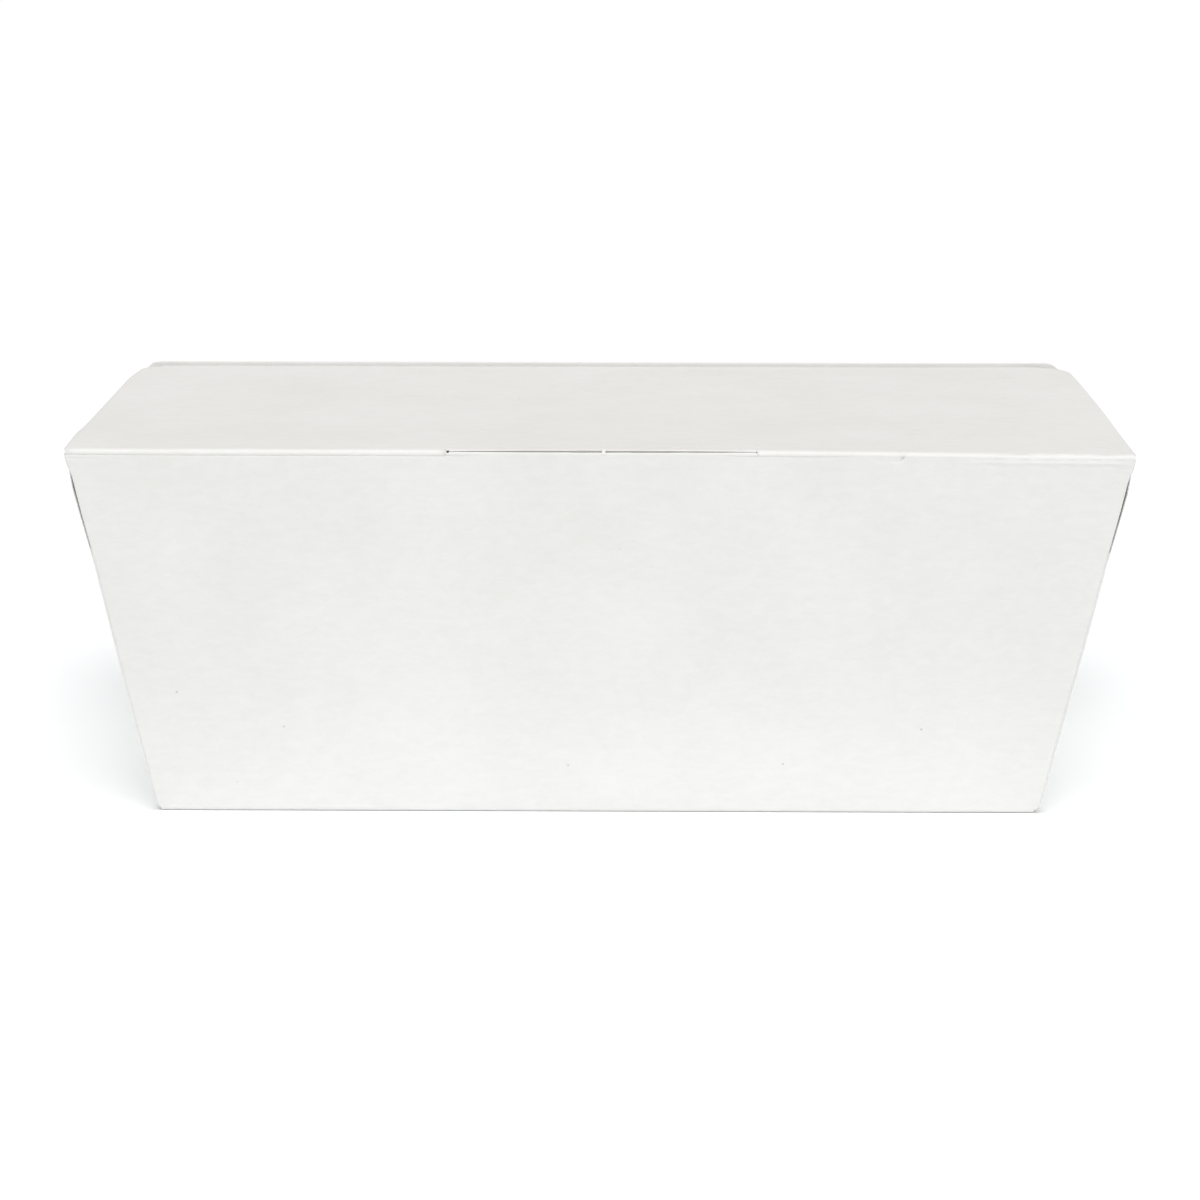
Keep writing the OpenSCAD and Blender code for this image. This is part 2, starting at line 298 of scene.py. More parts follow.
def srgb(colour):
    # sRGB hex to linear: ((c + 0.055) / 1.055)^2.4 above the toe
    value = np.array([int(colour[i:i + 2], 16) for i in (1, 3, 5)]) / 255
    linear = np.where(value <= 0.04045, value / 12.92, ((value + 0.055) / 1.055) ** 2.4)
    return tuple(float(v) for v in linear) + (1.0,)


def addNode(tree, kind, settings=(), links=()):
    # A node with its properties, socket values and links
    node = tree.nodes.new(kind)
    for name, value in dict(settings).items():
        if hasattr(node, str(name)):
            setattr(node, name, value)
        else:
            node.inputs[name].default_value = value
    for name, source in dict(links).items():
        tree.links.new(source, node.inputs[name])
    return node


def newMaterial(name):
    material = bpy.data.materials.new(name)
    material.use_nodes = True
    material.node_tree.nodes.clear()
    return material, material.node_tree


# Bleached kraft liner, pressed smooth on the board machine: matt, slightly cloudy, with fibres and
# the odd grey speck
linerFinish = {
    "light": "#e7e7e5",
    "shade": "#e1e1de",
    "speck": "#aaa8a2",
    "cloudSize": 26.0,         # millimetres
    "fibreSize": 1.5,
    "fibreShare": 0.55,        # how much of the tone the fibres make, the clouds the rest
    "fibreStretch": 0.45,      # the fibres lie along the box
    "toneRange": (0.36, 0.64), # noise that gives the full shade and the full light
    "speckSpacing": 34.0,
    "speckSize": 0.2,
    "speckStrength": 0.55,
    # larger specks, as x, y, z and radius
    "marks": ((-95.8, -33.5, 75.8, 0.42), (4.0, -50.0, 56.1, 0.3), (-6.2, -41.8, 10.3, 0.36),
              (63.7, -43.3, 18.3, 0.36), (-83.4, -44.6, 25.8, 0.34), (-62.5, -43.3, 18.5, 0.34),
              (36.5, -41.9, 10.7, 0.34)),
    "markStrength": 0.6,
    "bump": 0.25,
    "roughness": 0.68,
}


def linerMaterial():
    material, tree = newMaterial("bleachedKraftLiner")
    place = addNode(tree, "ShaderNodeTexCoord").outputs["Object"]
    cloud = addNode(tree, "ShaderNodeTexNoise",
                    {"Scale": 1000 / linerFinish["cloudSize"], "Detail": 3.0, "Roughness": 0.55},
                    {"Vector": place})
    drawn = addNode(tree, "ShaderNodeMapping", {"Scale": (linerFinish["fibreStretch"], 1.0, 1.0)},
                    {"Vector": place})
    fibre = addNode(tree, "ShaderNodeTexNoise",
                    {"Scale": 1000 / linerFinish["fibreSize"], "Detail": 4.0, "Roughness": 0.7,
                     "Distortion": 0.6}, {"Vector": drawn.outputs[0]})
    mixed = addNode(tree, "ShaderNodeMix", {"data_type": "FLOAT", 0: linerFinish["fibreShare"]},
                    {2: cloud.outputs[0], 3: fibre.outputs[0]})
    darkAt, lightAt = linerFinish["toneRange"]
    tone = addNode(tree, "ShaderNodeMapRange", {1: darkAt, 2: lightAt}, {0: mixed.outputs[0]})
    base = addNode(tree, "ShaderNodeMix",
                   {"data_type": "RGBA", 6: srgb(linerFinish["shade"]), 7: srgb(linerFinish["light"])},
                   {0: tone.outputs[0]})
    cell = addNode(tree, "ShaderNodeTexVoronoi", {"Scale": 1000 / linerFinish["speckSpacing"]},
                   {"Vector": place})
    edge = linerFinish["speckSize"] / linerFinish["speckSpacing"]
    dot = addNode(tree, "ShaderNodeMapRange",
                  {1: edge * 0.4, 2: edge * 1.3, 3: linerFinish["speckStrength"], 4: 0.0},
                  {0: cell.outputs["Distance"]})
    shade = dot.outputs[0]
    for x, y, z, size in linerFinish["marks"]:
        middle = (x * 0.001, y * 0.001, z * 0.001)
        away = addNode(tree, "ShaderNodeVectorMath", {"operation": "DISTANCE", 1: middle}, {0: place})
        mark = addNode(tree, "ShaderNodeMapRange",
                       {1: size * 0.0004, 2: size * 0.001, 3: linerFinish["markStrength"], 4: 0.0},
                       {0: away.outputs["Value"]})
        shade = addNode(tree, "ShaderNodeMath", {"operation": "MAXIMUM"},
                        {0: shade, 1: mark.outputs[0]}).outputs[0]
    finish = addNode(tree, "ShaderNodeMix", {"data_type": "RGBA", 7: srgb(linerFinish["speck"])},
                     {0: shade, 6: base.outputs[2]})
    bump = addNode(tree, "ShaderNodeBump", {"Strength": linerFinish["bump"], "Distance": 0.00002},
                   {"Height": fibre.outputs[0]})
    shader = addNode(tree, "ShaderNodeBsdfPrincipled",
                     {"Roughness": linerFinish["roughness"], "IOR": 1.5},
                     {"Base Color": finish.outputs[2], "Normal": bump.outputs[0]})
    addNode(tree, "ShaderNodeOutputMaterial", links={"Surface": shader.outputs[0]})
    return material


# Fluting paper and the cut edges of the liners: open, fuzzy fibres, a little greyer than the liner
edgeFinish = {
    "light": "#e2e1de",
    "shade": "#d2d1cd",
    "fibreSize": 0.3,
    "toneRange": (0.3, 0.7),
    "bump": 0.4,
    "roughness": 0.9,
}


def edgeMaterial():
    material, tree = newMaterial("cutFlutingPaper")
    place = addNode(tree, "ShaderNodeTexCoord").outputs["Object"]
    fibre = addNode(tree, "ShaderNodeTexNoise",
                    {"Scale": 1000 / edgeFinish["fibreSize"], "Detail": 3.0, "Roughness": 0.7},
                    {"Vector": place})
    darkAt, lightAt = edgeFinish["toneRange"]
    tone = addNode(tree, "ShaderNodeMapRange", {1: darkAt, 2: lightAt}, {0: fibre.outputs[0]})
    base = addNode(tree, "ShaderNodeMix",
                   {"data_type": "RGBA", 6: srgb(edgeFinish["shade"]), 7: srgb(edgeFinish["light"])},
                   {0: tone.outputs[0]})
    bump = addNode(tree, "ShaderNodeBump", {"Strength": edgeFinish["bump"], "Distance": 0.00005},
                   {"Height": fibre.outputs[0]})
    shader = addNode(tree, "ShaderNodeBsdfPrincipled",
                     {"Roughness": edgeFinish["roughness"], "IOR": 1.5},
                     {"Base Color": base.outputs[2], "Normal": bump.outputs[0]})
    addNode(tree, "ShaderNodeOutputMaterial", links={"Surface": shader.outputs[0]})
    return material


liner, cutEdge = linerMaterial(), edgeMaterial()
print("materials made")


def makePiece(name, shells, lidShare):
    # Joins shells into one mesh at the origin; lidShare says how far the lid's own wear reaches them
    points, faces, start = [], [], 0
    for shell in shells:
        share = shell.get("lidShare", lidShare)
        points.append(settle(shell["points"], share) * 0.001)
        faces.append(shell["faces"] + start)
        start += len(shell["points"])
    points, faces = np.concatenate(points), np.concatenate(faces)
    skins = np.concatenate([shell["smooth"] for shell in shells])
    fronts = np.concatenate([shell["front"] for shell in shells])
    mesh = bpy.data.meshes.new(name)
    mesh.vertices.add(len(points))
    mesh.vertices.foreach_set("co", points.astype(np.float32).ravel())
    mesh.loops.add(faces.size)
    mesh.loops.foreach_set("vertex_index", faces.astype(np.int32).ravel())
    mesh.polygons.add(len(faces))
    mesh.polygons.foreach_set("loop_start", np.arange(0, faces.size, 4, dtype=np.int32))
    mesh.polygons.foreach_set("use_smooth", skins)
    mesh.materials.append(liner)
    mesh.materials.append(cutEdge)
    mesh.polygons.foreach_set("material_index", np.where(fronts, 0, 1).astype(np.int32))
    mesh.update(calc_edges=True)
    mesh.validate()
    piece = bpy.data.objects.new(name, mesh)
    bpy.context.scene.collection.objects.link(piece)
    print(name, "made:", len(faces) * 2, "triangles")
    return piece


# The hinge crease, as [y, z]
hinge = {
    "radius": 0.72,            # outside of this crease
    "slitLength": 59.0,
    "slitMiddle": 0.5,
    "slitOpen": 0.28,          # widest, at the middle
    "slitHoles": (0.6, 0.34),  # punched ends, left and right, the right one half closed by fibres
    "mitreGap": 0.12,          # between the panels' cut insides and the mitre
    "nickAt": 0.8,             # the fibre bridge left in the slit
    "nickWidth": 0.7,
    "skin": 0.45,              # thickness of the crushed board that turns
    "nickSkin": 0.28,
    "lipSkin": 0.6,            # depth of the slit's cut faces
    "lap": 0.35,               # how far the crease reaches under the liners
    "cutAt": 58.2,             # one short cut across the crease
}
height = box["height"]
hingeCorner = np.array([-box["topDepth"] / 2, height])
wallWay = np.array([sin(wallLean), -cos(wallLean)])
lidWay = np.array([1.0, 0.0])
wallOut = np.array([-cos(wallLean), -sin(wallLean)])
lidOut = np.array([0.0, 1.0])
hingeHalf = (pi / 2 - wallLean) / 2
hingeTangent = hinge["radius"] / tan(hingeHalf)
mitreReach = box["board"] / tan(hingeHalf) + hinge["mitreGap"]
hingeInward = unit(wallWay + lidWay)
hingeCentre = hingeCorner + hingeInward * hinge["radius"] / sin(hingeHalf)
hingeArc = hinge["radius"] * (pi - 2 * hingeHalf)


def crushed(x):
    # Where the hinge crease is crushed: towards the right corner
    return smooth(x, 66, 78) * (1 - smooth(x, 98.5, 102))


def hingeRelief(distance, x):
    # Height over the smooth shape of the near wall at a distance below the crease: a narrow groove
    # that stops at the slit and fades to the right, a soft ridge with a faint wavy line where the
    # crease is crushed, small marks near both ends, and one short cut across the crease
    groove = -0.15 * bell(distance, 1.04, 0.2) * (1 - 0.9 * smooth(x, 36, 50))
    groove = groove * (1 - smooth(hinge["slitLength"] / 2 - np.abs(x - hinge["slitMiddle"]), -1, 1))
    wave = 2.1 + 0.3 * np.sin(x * 0.9) + 0.15 * np.sin(x * 2.1 + 1.0)
    line = -0.07 * crushed(x) * bell(distance, wave + 0.4, 0.3) * (0.6 + 0.4 * np.sin(x * 1.7))
    ridge = 0.12 * crushed(x) * bell(distance, 1.75, 0.38)
    marks = -0.10 * bell(x, 100.4, 1.5) * bell(distance, 2.9 - 0.12 * (x - 100.4) ** 2, 0.28)
    marks = marks - 0.08 * bell(x, -100.2, 1.5) * bell(distance, 1.9, 0.25)
    cut = -0.30 * bell(x - hinge["cutAt"] + 0.2 + 0.5 * (distance - 1), 0, 0.3)
    cut = cut * smooth(distance, -0.4, 0.2)
    return groove + line + ridge + marks + cut * (1 - smooth(distance, 1.5, 2.3))


# Side edges of the long walls, left (-1) and right (1), and where the sheets have their columns:
# close together at the ends, at the short cut and where the crease is crushed
sideShape = {
    "footCorner": {-1: 0.5, 1: 0.9},
    "farCorner": {-1: 4.2, 1: 4.6},
    "farRise": 0.3,            # the far wall stands this much above the lid
    "baseInset": 1.58,         # the base ends inside the end walls' creases
    "columns": [-102.15, -101.8, -101.35, -100.6, -99.5, -96, -90, -82, -72, -60, -48, -38, -31, -22,
                -11, 0, 11, 22, 31, 40, 49, 55.5, 57.2, 57.6, 57.9, 58.2, 58.5, 58.8, 59.1, 59.5,
                61, 63, 65]
               + [66 + 0.8 * k for k in range(42)] + [99.6, 100.6, 101.35, 101.8, 102.15],
    "lidColumns": [-102.15, -101.3, -99.5, -97, -93, -87, -79, -70, -60, -48, -38, -31, -22, -11, 0,
                   11, 22, 31, 40, 49, 55, 57.3, 57.9, 58.5, 59.1, 61, 65]
                  + [68 + 1.6 * k for k in range(20)] + [99.8, 101.3, 102.15],
    "farColumns": [-102.15, -101.8, -101.35, -100.6, -99.5, -96, -90, -82, -72, -60, -48, -36, -24,
                   -12, 0, 12, 24, 36, 48, 60, 72, 82, 90, 96, 99.5, 100.6, 101.35, 101.8, 102.15],
}


def cornerPull(distance, radius):
    # How far a rounded corner draws in, at a distance from its edge: r - sqrt(r^2 - (r-d)^2)
    d = np.clip(radius - distance, 0, radius)
    return radius - np.sqrt(np.clip(radius ** 2 - d ** 2, 0, None))


def makeTrayWrap():
    # Near wall, base and far wall: one folded sheet, carried along x
    rise = (height + sideShape["farRise"]) / cos(wallLean)
    slope = height / cos(wallLean)
    half = box["baseDepth"] / 2
    farTop = np.array([half + rise * sin(wallLean), rise * cos(wallLean)])
    corners = [hingeCorner, [-half, 0], [half, 0], farTop]
    profile = foldedProfile(corners, 1, (hingeTangent, mitreReach), (0.0, 0.0),
                            [board["rowStep"], board["baseStep"], board["rowStep"]],
                            board["hingeReach"])
    z = profile["outer"][:, 1]
    along, baseStart = profile["along"], slope
    baseEnd = slope + box["baseDepth"]
    upNear, upFar = slope - along, along - baseEnd
    foot = np.maximum(upNear, upFar)
    baseHalf = box["baseLength"] / 2 - sideShape["baseInset"]
    inBase = (along > baseStart) & (along < baseEnd)
    depthIn = np.minimum(along - baseStart, baseEnd - along)

    def halfWidth(side):
        # from the middle to the sheet's raw end on one side
        corner = sideShape["footCorner"][side]
        wallHalf = box["baseLength"] / 2 - edgeBack(z, side) + np.clip(z, 0, None) * tan(endLean)
        wide = wallHalf - cornerPull(np.clip(foot - 0.73, 0, None), corner)
        narrow = wallHalf - corner
        onBase = narrow + (baseHalf - narrow) * smooth(depthIn, 1.2, 3.0)
        wide = np.where(inBase | (foot < 0.73), onBase, wide)
        farPull = cornerPull(rise - np.clip(upFar, 0, None), sideShape["farCorner"][side])
        return wide - farPull * (upFar > 0)

    halves = {side: halfWidth(side) for side in (-1, 1)}

    def relief(fold, x, alongAt):
        # grooves where the board is pressed beside the base creases, and the hinge's own relief
        pressed = -board["pressDepth"] * bell(np.abs(fold), 1.5, 0.5) * (alongAt > 10)
        return pressed + np.where(alongAt < 10, hingeRelief(alongAt, x), 0)

    def place(y, zAt, x):
        return np.stack([x, y, zAt], -1)

    # two lengths of the sheet share the row along the middle of the base
    middle = int(np.argmin(np.abs(along - baseStart - box["baseDepth"] / 2)))
    parts = []
    for rows, columns in ((slice(0, middle + 1), sideShape["columns"]),
                          (slice(middle, None), sideShape["farColumns"])):
        part = {key: value[rows] for key, value in profile.items()}
        columns = np.array(columns)
        shares = (columns - columns[0]) / (columns[-1] - columns[0])
        parts.append(boardSheet(part, -halves[-1][rows], halves[1][rows], shares, place, relief=relief,
                                mediumShares=np.linspace(0, 1, 9)))
    return parts


def hingePoint(share, depth=0.0):
    # A point on the crease's arc: centre plus radius times a direction that swings from the wall's
    # outward side to the lid's
    way = swing(wallOut, lidOut, share)
    return hingeCentre + way * (hinge["radius"] - np.asarray(depth, float)[..., None])


def slitHalfOpen(x):
    # Half the slit's width: a parabola between its ends, a little frayed, and a circle at each end
    half, u = hinge["slitLength"] / 2, x - hinge["slitMiddle"]
    fray = 0.75 + 0.25 * np.sin(x * 0.83 + 1) * np.sin(x * 0.31)
    lens = 0.055 + hinge["slitOpen"] / 2 * np.clip(1 - (u / half) ** 2, 0, 1) * fray
    radius = np.where(u < 0, hinge["slitHoles"][0], hinge["slitHoles"][1]) / 2
    hole = np.sqrt(np.clip(radius ** 2 - (np.abs(u) - half) ** 2, 0, None))
    return np.where(np.abs(u) > half, hole, np.maximum(lens, hole))


def slitColumns():
    # Places along the slit: close together round the punched ends, even between them
    half = hinge["slitLength"] / 2
    steps = np.array([-1.6, -1.0, -0.94, -0.8, -0.5, 0, 0.5, 0.8, 0.94, 0.995])
    left = -(half + hinge["slitHoles"][0] / 2 * steps)[::-1]
    right = half + hinge["slitHoles"][1] / 2 * steps
    middle = np.linspace(left[-1], right[0], 61)[1:-1]
    return hinge["slitMiddle"] + np.concatenate([left, middle, right])


def carryAlong(section, x):
    # A grid of [y, z] points, rows round the section and columns at x, as points in space
    return np.stack([np.broadcast_to(x, section.shape[:2]), section[..., 0], section[..., 1]], -1)


def makeLip(onLid):
    # One lip of the slit: half of the crease's arc, up to the slit's edge, with a raw cut face that
    # leans in towards the middle. Rows run round the arc and columns along x.
    x = slitColumns()
    rows = np.linspace(0, 1, 9)
    reach = 0.5 - slitHalfOpen(x) / hingeArc
    share = rows[:, None] * reach[None, :]
    outer = hingePoint(1 - share if onLid else share)
    way, out = (lidWay, lidOut) if onLid else (wallWay, wallOut)
    root = hingeCorner + way * (hingeTangent + hinge["lap"]) - out * 0.1
    outer = np.concatenate([np.broadcast_to(root, (1, len(x), 2)), outer])
    low = hingeCorner + way * (hingeTangent + hinge["lap"]) - out * (hinge["skin"] + 0.1)
    offWay = unit((lidWay - wallWay) if onLid else (wallWay - lidWay))
    deep = hingeCentre - hingeInward * (hinge["radius"] - hinge["lipSkin"])
    # the cut is a V, open to its bottom only at the left hole
    atBottom = 0.2 + 0.8 * bell(x, hinge["slitMiddle"] - hinge["slitLength"] / 2, 0.4)
    deepEdge = deep + offWay * (atBottom * slitHalfOpen(x))[:, None]
    rowShare = np.linspace(0, 1, len(outer))[:, None, None]
    inner = low * (1 - rowShare) + deepEdge[None] * rowShare
    shell = closedShell(carryAlong(outer, x), carryAlong(inner, x))
    shell["front"][-2 * (len(x) - 1):] = False
    shell["lidShare"] = float(onLid)
    return shell


def makeCreaseStrip(x, skin):
    # A strip of crushed board that bends as the lid turns: the whole arc with its bead, and inside
    # it the same arc at a skin's depth, carried along x. Its ends lie just under the liners.
    share = np.linspace(0, 1, 25)
    arc = hingePoint(share)[:, None, :] + np.zeros((1, len(x), 1))
    across = (share - 0.5)[:, None] * hingeArc
    side = swing(wallOut, lidOut, share)[:, None, :]
    wrinkle = crushed(x)[None, :] * 0.03 * np.sin(x[None, :] * 1.35 + across * 1.6)
    path = 0.72 + 0.10 * np.sin(x * 0.33 + 0.6) + 0.05 * np.sin(x * 1.1 + 1)
    dent = -0.2 * crushed(x)[None, :] * bell(share[:, None], path[None, :], 0.3)
    wrinkle = wrinkle + dent * (0.75 + 0.25 * np.sin(x[None, :] * 0.8 + 0.5))
    cut = -0.3 * bell(x[None, :] - hinge["cutAt"] - 0.3 - 0.5 * across, 0, 0.3)
    cut = cut * (1 - smooth(across, 0.2, 0.7))
    bead = 0.03 * np.cos(across / hingeArc * pi) * (1 - 0.8 * crushed(x)[None, :])
    outer = arc + side * (wrinkle + cut + bead)[..., None]
    wallFoot = hingeCorner + wallWay * (hingeTangent + hinge["lap"])
    lidFoot = hingeCorner + lidWay * (hingeTangent + hinge["lap"])
    rows = (hingePoint(share, skin))[:, None, :] + np.zeros((1, len(x), 1))
    first = np.broadcast_to(wallFoot - wallOut * 0.1, (1, len(x), 2))
    last = np.broadcast_to(lidFoot - lidOut * 0.1, (1, len(x), 2))
    firstIn = np.broadcast_to(wallFoot - wallOut * (skin + 0.1), (1, len(x), 2))
    lastIn = np.broadcast_to(lidFoot - lidOut * (skin + 0.1), (1, len(x), 2))
    outer = np.concatenate([first, outer, last])
    inner = np.concatenate([firstIn, rows, lastIn])
    shell = closedShell(carryAlong(outer, x), carryAlong(inner, x))
    # the strip takes the lid's lift in the same measure as it turns with the lid
    way = unit(lidWay - wallWay)
    length = hingeTangent * np.linalg.norm(lidWay - wallWay)
    start = hingeCorner + wallWay * hingeTangent
    t = np.clip(((shell["points"][:, 1:] - start) @ way) / length, 0, 1)
    shell["lidShare"] = t * t * (3 - 2 * t)
    return shell


nearShells, farShells = makeTrayWrap()
nearWrap = makePiece("nearWrap", nearShells, 0.0)
farWrap = makePiece("farWrap", farShells, 0.0)
for piece in (nearWrap, farWrap):
    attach(piece, "tray")
    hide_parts("tray")

# End walls, dust flaps and glued corner tabs
ends = {
    "seatGap": 0.15,           # between the dust flaps and the lid
    "dustLength": 38.0,
    "dustSlopeNear": 5.0,
    "dustSlopeFar": 12.0,
    "dustCorner": 7.0,
    "dustGap": 0.7,            # between the dust flaps and the tuck flap
    "tabWidth": 17.0,
    "tabLow": 1.4,             # the tabs start this far above the table
    "tabHigh": 17.0,           # and end this far below the dust flaps
    "tabSlope": 5.0,
    "tabCorner": 3.0,
    "edgeGap": 0.2,            # between an end wall's edge and the long wall
    "foldReach": 2.6,          # an end wall's share of a tab's section
    "pressDepth": 0.06,
}

# Lid and tuck flap
tuck = {
    "depth": 25.0,
    "corner": 13.0,
    "slope": 3.0,
    "gap": 0.4,                # between the flap and the far wall
    "lean": radians(1.5),
    "drawLength": 20.0,        # the lid narrows over this length
    "drawIn": {-1: 1.2, 1: 0.15},      # by this much, left and right
    "lidCorner": {-1: 7.0, 1: 10.0},
}
flapLean = wallLean + tuck["lean"]
tuckCorner = np.array([box["topDepth"] / 2 - (2 * box["board"] + tuck["gap"]) / cos(wallLean), height])
dustTop = height - box["board"] - ends["seatGap"]


def makeEndWall(side):
    # End wall and dust flap: base bend, wall, dust bend and flap as one section in x and z, carried
    # along y. The flutes run up the wall.
    half = box["baseLength"] / 2
    top = np.array([half + dustTop * tan(endLean), dustTop])
    tip = np.array([top[0] - ends["dustLength"] - 1.0, dustTop])
    start = np.array([half - 4.0, 0.0])
    profile = foldedProfile([start, [half, 0], top, tip], 1, (2.42, 2.42), (0.0, 0.0), [1.0, 6.0, 2.0])
    x, z, along = profile["outer"][:, 0], profile["outer"][:, 1], profile["along"]
    slope = np.linalg.norm(top - np.array([half, 0]))
    up = along - 4.0
    cornerY = box["baseDepth"] / 2 - box["board"] / cos(wallLean) + np.clip(z, 0, None) * tan(wallLean)
    tabTop = dustTop - box["board"] - ends["tabHigh"]
    folded = smooth(z, 0.3, ends["tabLow"] - 0.2) * (1 - smooth(z, tabTop - 0.4, tabTop + 0.6))
    limit = cornerY - ends["edgeGap"] - 0.7 * smooth(z, 0.7, 1.6) - 0.88 * folded
    onFlap = up > slope - 0.7
    inFlap = np.clip(up - slope - 1.0, 0, None) / ends["dustLength"]
    fromTip = ends["dustLength"] + slope - up
    far = tuckCorner[0] - (height - dustTop + box["board"]) * tan(flapLean) - box["board"] / cos(flapLean)
    far = far - ends["dustGap"]
    pull = cornerPull(fromTip, ends["dustCorner"])
    nearY = np.where(onFlap, -limit + 0.3 + ends["dustSlopeNear"] * inFlap + pull, -limit)
    farY = np.where(onFlap, far - 0.3 - ends["dustSlopeFar"] * inFlap - pull, limit)
    width = 2 * (box["topDepth"] / 2 - 3)
    shares = np.linspace(0, 1, int(width / board["rowStep"]))

    def relief(fold, y, alongAt):
        return -ends["pressDepth"] * bell(np.abs(fold), 1.5, 0.5)

    def place(xAt, zAt, y):
        out = endOut(zAt, side) * smooth(xAt, 87.3, 89)
        out = out - footPull(zAt) * smooth(np.abs(y), 31, 37.4) * smooth(xAt, 86.4, 88.2)
        return np.stack([side * (xAt + out), y, zAt], -1)

    return boardSheet(profile, nearY, farY, shares, place, fluteAcross=False, relief=relief)


def makeTab(side, facing):
    # A corner tab: the end wall's edge, a bend and the glued tab as a section square to the corner
    # line, carried up that line. The flutes run up it.
    run = unit([tan(endLean), -tan(wallLean), 1])
    outEnd = np.array([cos(endLean), 0, -sin(endLean)])
    outLong = np.array([0, -cos(wallLean), -sin(wallLean)])
    across = np.cross(run, outEnd)
    originY = -box["baseDepth"] / 2 + (box["board"] - 0.02) / cos(wallLean)
    origin = np.array([box["baseLength"] / 2, originY, 0])

    def flat(v):
        return np.array([v @ outEnd, v @ across])

    wallDir = unit(np.cross(outEnd, run))
    wallDir = wallDir if wallDir[1] > 0 else -wallDir
    tabDir = unit(np.cross(outLong, run))
    tabDir = tabDir if tabDir[0] < 0 else -tabDir
    startAt = flat(wallDir) * ends["foldReach"]
    tip = flat(tabDir) * ends["tabWidth"]
    turnSign = np.sign(np.cross(np.append(-startAt, 0), np.append(tip, 0))[2])
    profile = foldedProfile([startAt, [0, 0], tip], turnSign, (0.82, 0.82), (0.0, 0.0),
                            [0.5, board["rowStep"]])
    out = profile["along"] - ends["foldReach"]
    reach = np.clip(out, 0, None) / ends["tabWidth"]
    fromTip = ends["tabWidth"] - out
    low = ends["tabLow"] + 0.3 + ends["tabSlope"] * reach + cornerPull(fromTip, ends["tabCorner"])
    high = dustTop - box["board"] - ends["tabHigh"] - 0.3 - ends["tabSlope"] * reach
    high = high - cornerPull(fromTip, ends["tabCorner"])
    shares = np.linspace(0, 1, 14)

    def place(a, b, upAt):
        p = origin + a[..., None] * outEnd + b[..., None] * across + (upAt / run[2])[..., None] * run
        p[..., 0] += endOut(p[..., 2], side) - footPull(p[..., 2])
        return p * np.array([side, facing, 1.0])

    def relief(fold, upAt, alongAt):
        return -ends["pressDepth"] * bell(np.abs(fold), 1.4, 0.4)

    return boardSheet(profile, low, high, shares, place, relief=relief)


for side, name in ((1, "rightEnd"), (-1, "leftEnd")):
    piece = makePiece(name, makeEndWall(side) + makeTab(side, 1) + makeTab(side, -1), 0.0)
    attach(piece, "tray")
    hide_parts("tray")


def makeLidWrap():
    # Lid and tuck flap: one folded sheet, carried along x
    tip = tuckCorner + tuck["depth"] * np.array([-sin(flapLean), -cos(flapLean)])
    profile = foldedProfile([hingeCorner, tuckCorner, tip], -1, (hingeTangent, mitreReach), (0.0, 0.0),
                            [board["rowStep"], board["rowStep"]], board["hingeReach"])
    along = profile["along"]
    depth = tuckCorner[0] - hingeCorner[0]
    back = depth - along
    half = box["topLength"] / 2
    down = np.clip(along - depth, 0, None)

    def halfWidth(side):
        # from the middle to the sheet's raw end on one side
        draw, corner = tuck["drawIn"][side], tuck["lidCorner"][side]
        lidWide = half - draw * smooth(along, depth - tuck["drawLength"], depth)
        lidWide = lidWide - cornerPull(np.clip(back, 0, None), corner)
        flapWide = half - draw - corner - tuck["slope"] * down / tuck["depth"]
        flapWide = flapWide - cornerPull(tuck["depth"] - down, tuck["corner"])
        return np.where(along < depth, np.maximum(lidWide, flapWide), flapWide)

    columns = np.array(sideShape["lidColumns"])
    shares = (columns - columns[0]) / (columns[-1] - columns[0])

    def relief(fold, x, alongAt):
        pressed = -board["pressDepth"] * bell(np.abs(fold), 1.5, 0.5) * (alongAt > 10)
        dip = -0.05 * bell(alongAt, 4.2, 1.3) - 0.1 * crushed(x) * bell(alongAt, 1.0, 0.7)
        own = np.where(alongAt < 10, -0.07 * bell(alongAt, 1.05, 0.3) + dip, 0)
        return pressed + own

    def place(y, z, x):
        return np.stack([x, y, z], -1)

    return boardSheet(profile, -halfWidth(-1), halfWidth(1), shares, place, relief=relief,
                      mediumShares=np.linspace(0, 1, 9))


lidWrap = makePiece("lidWrap", makeLidWrap(), 1.0)
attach(lidWrap, "lid")
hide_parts("lid")

# The crease bends between lid and wall: left and right of the slit, at its nick and at both lips
leftStart = hinge["slitMiddle"] - hinge["slitLength"] / 2 - hinge["slitHoles"][0] / 2 + 0.01
rightStart = hinge["slitMiddle"] + hinge["slitLength"] / 2 + hinge["slitHoles"][1] / 2 - 0.01
stripEnd = box["topLength"] / 2 - 0.2
leftColumns = np.linspace(-stripEnd, leftStart, 36)
rightColumns = np.linspace(rightStart, stripEnd, 130)
nickColumns = hinge["nickAt"] + hinge["nickWidth"] * np.linspace(-0.5, 0.5, 5)
creaseShells = [makeCreaseStrip(leftColumns, hinge["skin"]),
                makeCreaseStrip(rightColumns, hinge["skin"]),
                makeCreaseStrip(nickColumns, hinge["nickSkin"]), makeLip(False), makeLip(True)]
hingeCrease = makePiece("hingeCrease", creaseShells, 0.5)
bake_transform(hingeCrease)
print("pieces made")

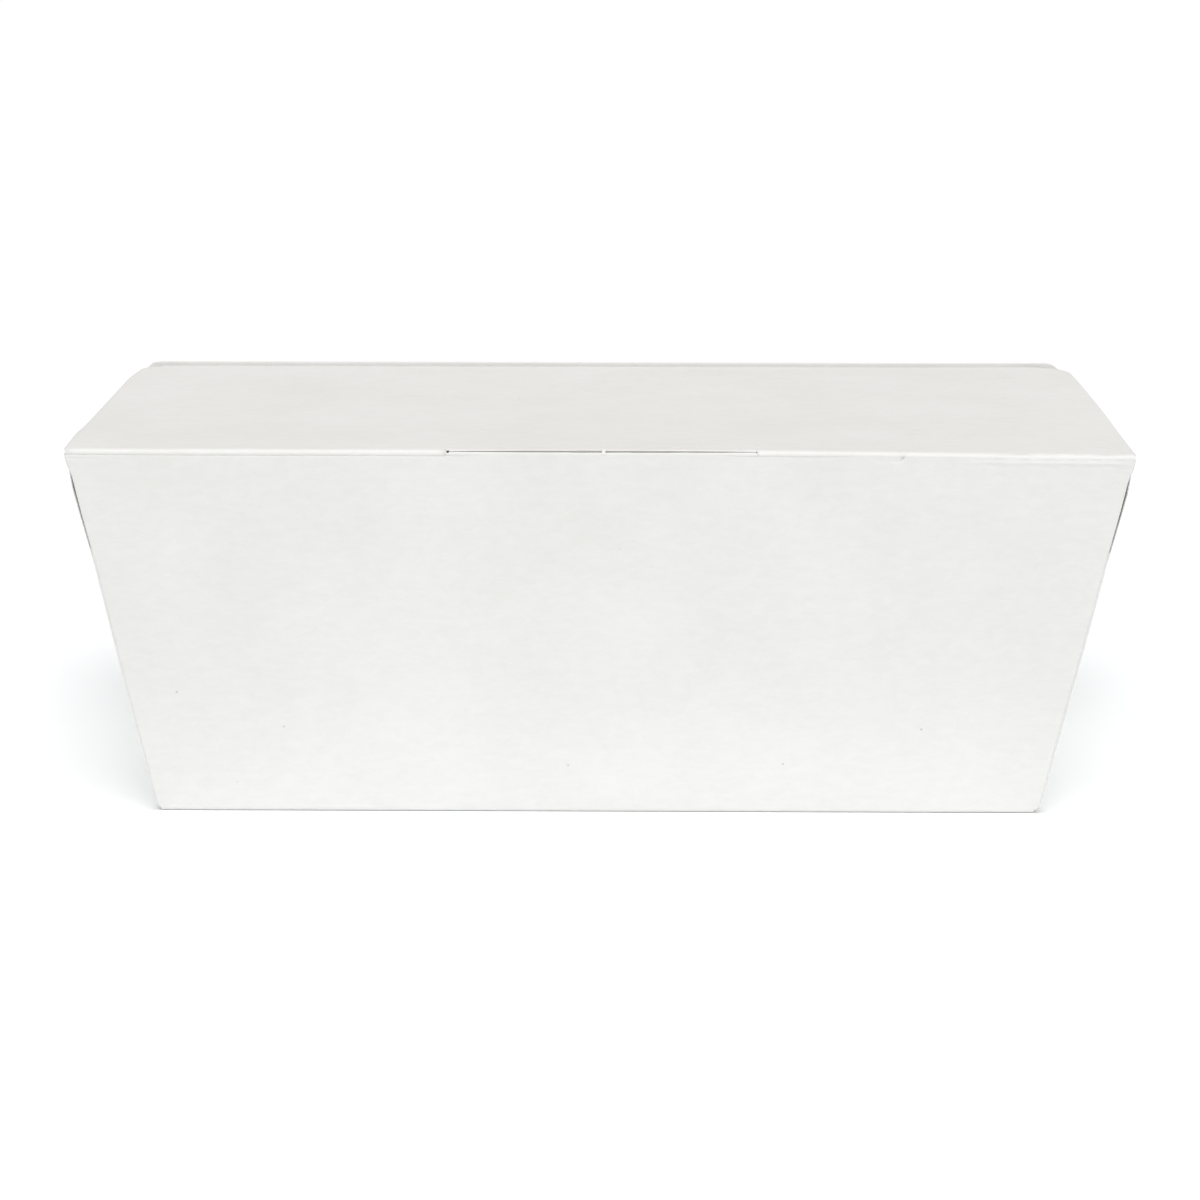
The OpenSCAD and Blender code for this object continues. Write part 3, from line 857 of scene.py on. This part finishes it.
# Floor, light and camera. Nothing here belongs to the box.
studio = {
    "floor": "#fbfdfe",
    "worldStrength": 0.46,
    "keyElevation": 59.0,      # degrees above the horizon, in front of the box
    "keySoftness": 50.0,       # degrees that the key light spans
    "keyStrength": 2.24,
    "keyColour": (1.0, 0.982, 0.978),
    "keyTurn": 4.0,            # degrees
    "floorReach": 12.0,        # metres, as all lengths below
    "lowPower": 0.00102,
    "lowColour": (0.76, 0.74, 1.0),
    "lowPlace": (0.04, -0.6, 0.009),
    "lowSize": (0.3, 0.02),
    "lowSpread": 3.8,          # degrees
    "sidePower": 0.6,
    "sidePlace": (0.6, 0.06, 0.04),
    "sideSize": (0.2, 0.05),
}


def makeStudio():
    mesh = bpy.data.meshes.new("paleFloor")
    reach = studio["floorReach"]
    mesh.from_pydata([(-reach, -reach, 0), (reach, -reach, 0), (reach, reach, 0), (-reach, reach, 0)],
                     [], [(0, 1, 2, 3)])
    floor = bpy.data.objects.new("paleFloor", mesh)
    bpy.context.scene.collection.objects.link(floor)
    material, tree = newMaterial("mattWhiteSweep")
    shader = addNode(tree, "ShaderNodeBsdfPrincipled",
                     {"Base Color": srgb(studio["floor"]), "Roughness": 1.0})
    addNode(tree, "ShaderNodeOutputMaterial", links={"Surface": shader.outputs[0]})
    mesh.materials.append(material)

    world = bpy.data.worlds.new("whiteRoom")
    world.use_nodes = True
    sky = world.node_tree.nodes["Background"]
    sky.inputs["Color"].default_value = (1, 1, 1, 1)
    sky.inputs["Strength"].default_value = studio["worldStrength"]
    bpy.context.scene.world = world

    # the key is a wide soft sun, so that floor and box get the same light everywhere
    key = bpy.data.lights.new("keyLight", "SUN")
    key.energy, key.angle = studio["keyStrength"], radians(studio["keySoftness"])
    key.color = studio["keyColour"]
    keyLamp = bpy.data.objects.new("keyLight", key)
    keyLamp.rotation_euler = (radians(90 - studio["keyElevation"]), 0, radians(studio["keyTurn"]))
    bpy.context.scene.collection.objects.link(keyLamp)

    # a low reflector in front brightens the foot of the near wall
    low = bpy.data.lights.new("lowReflector", "AREA")
    low.shape, low.energy, low.color = "RECTANGLE", studio["lowPower"], studio["lowColour"]
    low.size, low.size_y = studio["lowSize"]
    low.spread = radians(studio["lowSpread"])
    lowLamp = bpy.data.objects.new("lowReflector", low)
    lowLamp.location = studio["lowPlace"]
    lowLamp.rotation_euler = (radians(90), 0, 0)
    lowLamp.visible_camera = False
    bpy.context.scene.collection.objects.link(lowLamp)

    # a low white board at each end, below the lid's height, opens up the shadows of the end walls
    sideX, sideY, sideZ = studio["sidePlace"]
    for side in (-1, 1):
        white = bpy.data.lights.new("sideReflector", "AREA")
        white.shape, white.energy = "RECTANGLE", studio["sidePower"]
        white.size, white.size_y = studio["sideSize"]
        whiteLamp = bpy.data.objects.new("sideReflector", white)
        whiteLamp.location = (side * sideX, sideY, sideZ)
        whiteLamp.rotation_euler = (radians(90), 0, side * radians(90))
        whiteLamp.visible_camera = False
        bpy.context.scene.collection.objects.link(whiteLamp)


makeStudio()

# The camera stands where the photo's corners put it
view = {
    "sensor": 36.0,            # millimetres
    "lens": 97.33,
    "place": (0.00433, -0.66328, 0.18883),
    "turn": (76.884, -0.088, 0.413),   # degrees
}
lens = bpy.data.cameras.new("photoCamera")
lens.sensor_width, lens.lens = view["sensor"], view["lens"]
lens.clip_start, lens.clip_end = 0.01, 100.0
camera = bpy.data.objects.new("photoCamera", lens)
camera.location = view["place"]
camera.rotation_euler = tuple(radians(angle) for angle in view["turn"])
bpy.context.scene.collection.objects.link(camera)
bpy.context.scene.camera = camera
bpy.context.scene.view_settings.view_transform = "Standard"
print("studio and camera set")
